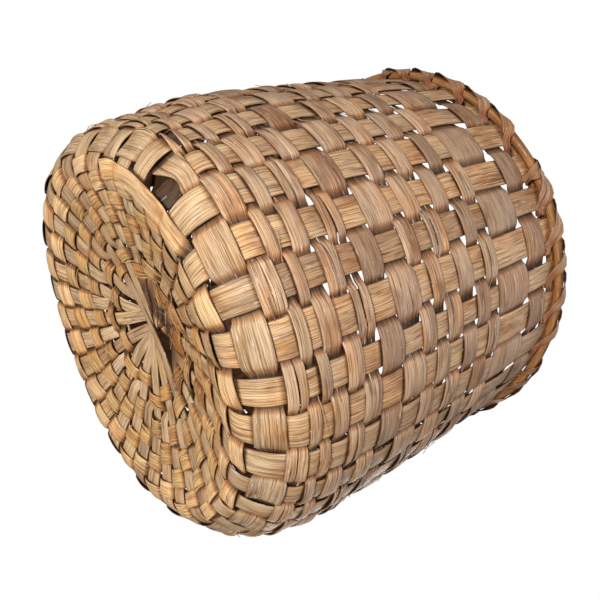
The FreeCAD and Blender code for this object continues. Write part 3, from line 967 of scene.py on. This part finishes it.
def make_lashing():
    """One thin splint wound round both hoops, through the gaps between stakes, most turns leaning alike."""
    hoop_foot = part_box("outer_rim_hoop")[0].z
    outer_rod = (*rod_place("outer_rim_hoop", OUTER_ROD), OUTER_ROD / 2 + LASHING_CLEAR)
    inner_rod = (*rod_place("inner_rim_hoop", INNER_ROD), INNER_ROD / 2 + LASHING_CLEAR)
    turns = -math.pi / 2 - np.linspace(0, 2 * math.pi, TURN_SAMPLES, endpoint=False)
    ways = np.stack([np.cos(turns), np.sin(turns)], axis=-1)
    share = np.linspace(0, 1, TURN_SAMPLES, endpoint=False)
    rise = ease(share / RISE_SHARE)
    fall = ease((share - FALL_SHARE) / (1 - FALL_SHARE))
    sections = []
    angles = []
    for gap in range(STAKES):
        depth = rng.uniform(*FOOT_DEPTHS) * MM
        foot = (wall_radius + FOOT_OUT, hoop_foot - depth, FOOT_SIZE)
        low = gap + 0.5
        next_low = gap + 1.5
        lean = CROSSED_LEAN if gap % TURN_CYCLE == CROSSED_TURN else LEAN
        top = low + lean + rng.uniform(-LEAN_UNEVEN, LEAN_UNEVEN)
        angles.append(low + (top - low) * rise + (next_low - top) * fall)
        sections.append(loop_round([outer_rod, inner_rod, foot], ways))
    section = np.concatenate(sections)
    angle = np.concatenate(angles) * STAKE_STEP
    facing = np.tile(ways, (STAKES, 1))
    count = len(section)
    for _ in range(SMOOTHINGS):
        smoothed(section)
        smoothed(angle)
    radius = section[:, 0]
    height = section[:, 1]
    cosine = np.cos(angle)
    sine = np.sin(angle)
    centre = np.stack([radius * cosine, radius * sine, height], axis=-1)
    tangent = np.gradient(centre, axis=0)
    tangent /= np.linalg.norm(tangent, axis=1)[:, None]
    away = np.stack([cosine * facing[:, 0], sine * facing[:, 0], facing[:, 1]], axis=-1)
    sideways = np.cross(tangent, away)
    sideways /= np.linalg.norm(sideways, axis=1)[:, None]
    normal = np.cross(sideways, tangent)
    low_share = ease((hoop_foot - height) / FOOT_HEIGHT)
    uneven = 1 + LASHING_UNEVEN * wander(count, STAKES, False)
    half_width = LASHING_WIDTH / 2 * uneven * (1 - FOOT_PINCH * low_share)
    across = ACROSS[None, :, None] * half_width[:, None, None] * sideways[:, None]
    grids = []
    for side in (1, -1):
        half = side * LASHING_THICKNESS / 2 * FULLNESS[None, :, None] * normal[:, None]
        grids.append(centre[:, None] + across + half)
    along = running_length(centre, False)
    # Painted shade where the turns go into the gaps, and full painted shade on the side that lies against
    # the hoops.
    strand = (*grids, along, half_width, False, FOOT_SHADE * low_share, np.ones(count))
    piece = strip_mesh("wound_rim_lashing", [strand], woods["lashing_wood"])
    place_piece(piece, "rim_lashing")


make_lashing()

# Floor, light and camera

FLOOR_SIZE = 4.0
FLOOR_ROUGHNESS = 0.9
# The floor is pale round the basket, with a painted shadow that is dark under it, and fades out between
# these distances.
FLOOR_SHADOW_STOPS = [(corner_x, (0.1, 0.09, 0.08)), (wall_radius + CORNER_RADIUS, (0.8, 0.8, 0.79))]
FLOOR_FADE = (0.55, 1.5)


def make_floor():
    """A pale floor that shows from above only, with a painted shadow under the basket, fading out to white.
    """
    size = FLOOR_SIZE
    mesh = bpy.data.meshes.new("floor")
    corners = [(-size, -size, 0), (size, -size, 0), (size, size, 0), (-size, size, 0)]
    mesh.from_pydata(corners, [], [(0, 1, 2, 3)])
    floor = bpy.data.objects.new("floor", mesh)
    bpy.context.collection.objects.link(floor)
    material = bpy.data.materials.new("floor_paper")
    material.use_nodes = True
    tree = material.node_tree
    links = tree.links.new
    shader = tree.nodes["Principled BSDF"]
    shader.inputs["Roughness"].default_value = FLOOR_ROUGHNESS
    side = tree.nodes.new("ShaderNodeNewGeometry")
    reach = tree.nodes.new("ShaderNodeVectorMath")
    reach.operation = "LENGTH"
    links(side.outputs["Position"], reach.inputs[0])
    distance = reach.outputs["Value"]
    links(ramp(tree, distance, FLOOR_SHADOW_STOPS), shader.inputs["Base Color"])
    fade = mapped(tree, distance, FLOOR_FADE, (0.0, 1.0))
    hidden = calculated(tree, "MAXIMUM", side.outputs["Backfacing"], fade)
    clear = tree.nodes.new("ShaderNodeBsdfTransparent")
    mix = tree.nodes.new("ShaderNodeMixShader")
    links(hidden, mix.inputs["Fac"])
    links(shader.outputs["BSDF"], mix.inputs[1])
    links(clear.outputs["BSDF"], mix.inputs[2])
    links(mix.outputs["Shader"], tree.nodes["Material Output"].inputs["Surface"])
    mesh.materials.append(material)
    floor.visible_shadow = False
    floor.visible_diffuse = False
    floor.visible_glossy = False


WORLD_TONE = (1.0, 0.98, 0.95, 1.0)
WORLD_STRENGTH = 0.25


def make_world():
    """White behind the object, and a plain even light from all round."""
    world = bpy.data.worlds.new("studio")
    world.use_nodes = True
    tree = world.node_tree
    light = tree.nodes["Background"]
    light.inputs["Color"].default_value = WORLD_TONE
    light.inputs["Strength"].default_value = WORLD_STRENGTH
    white = tree.nodes.new("ShaderNodeBackground")
    white.inputs["Color"].default_value = (*WHITE, 1.0)
    white.inputs["Strength"].default_value = 1.0
    path = tree.nodes.new("ShaderNodeLightPath")
    mix = tree.nodes.new("ShaderNodeMixShader")
    tree.links.new(path.outputs["Is Camera Ray"], mix.inputs["Fac"])
    tree.links.new(light.outputs["Background"], mix.inputs[1])
    tree.links.new(white.outputs["Background"], mix.inputs[2])
    tree.links.new(mix.outputs["Shader"], tree.nodes["World Output"].inputs["Surface"])
    bpy.context.scene.world = world


# The camera stands below and beside the base, turned so that the basket lies on its side.
CAMERA_PLACE = Vector((0.3227, 0.0106, -0.1106))
CAMERA_TARGET = Vector((0.0, 0.008, 0.1201))
CAMERA_ROLL = math.radians(-70.14)
CAMERA_LENS = 36.12
CAMERA_SENSOR = 36.0


def make_camera():
    """The camera of the photo."""
    data = bpy.data.cameras.new("camera")
    data.lens = CAMERA_LENS
    data.sensor_width = CAMERA_SENSOR
    camera = bpy.data.objects.new("camera", data)
    bpy.context.collection.objects.link(camera)
    aim = (CAMERA_TARGET - CAMERA_PLACE).to_track_quat("-Z", "Y").to_matrix()
    turn = Matrix.Rotation(-CAMERA_ROLL, 3, "Z")
    camera.matrix_world = Matrix.Translation(CAMERA_PLACE) @ (aim @ turn).to_4x4()
    bpy.context.scene.camera = camera


# Lamps: place, power in watts and size. One stands below the floor, because the photo shows the base.
LAMPS = {
    "front_lamp": ((1.2, 0.0, 0.2), 4.8, 0.45),
    "base_lamp": ((0.8, -0.2, -0.85), 22.5, 0.25),
    "top_lamp": ((0.2, 0.4, 1.7), 11.0, 1.2),
    "back_lamp": ((-1.0, 0.8, 0.7), 13.0, 0.9),
}


def make_lamp(name, place, power, size):
    """A soft square lamp that faces the basket."""
    data = bpy.data.lights.new(name, "AREA")
    data.energy = power
    data.size = size
    lamp = bpy.data.objects.new(name, data)
    bpy.context.collection.objects.link(lamp)
    way = (CAMERA_TARGET - Vector(place)).to_track_quat("-Z", "Y").to_matrix().to_4x4()
    lamp.matrix_world = Matrix.Translation(place) @ way


make_floor()
make_world()
make_camera()
for name, values in LAMPS.items():
    make_lamp(name, *values)
bpy.context.scene.view_settings.view_transform = "Standard"
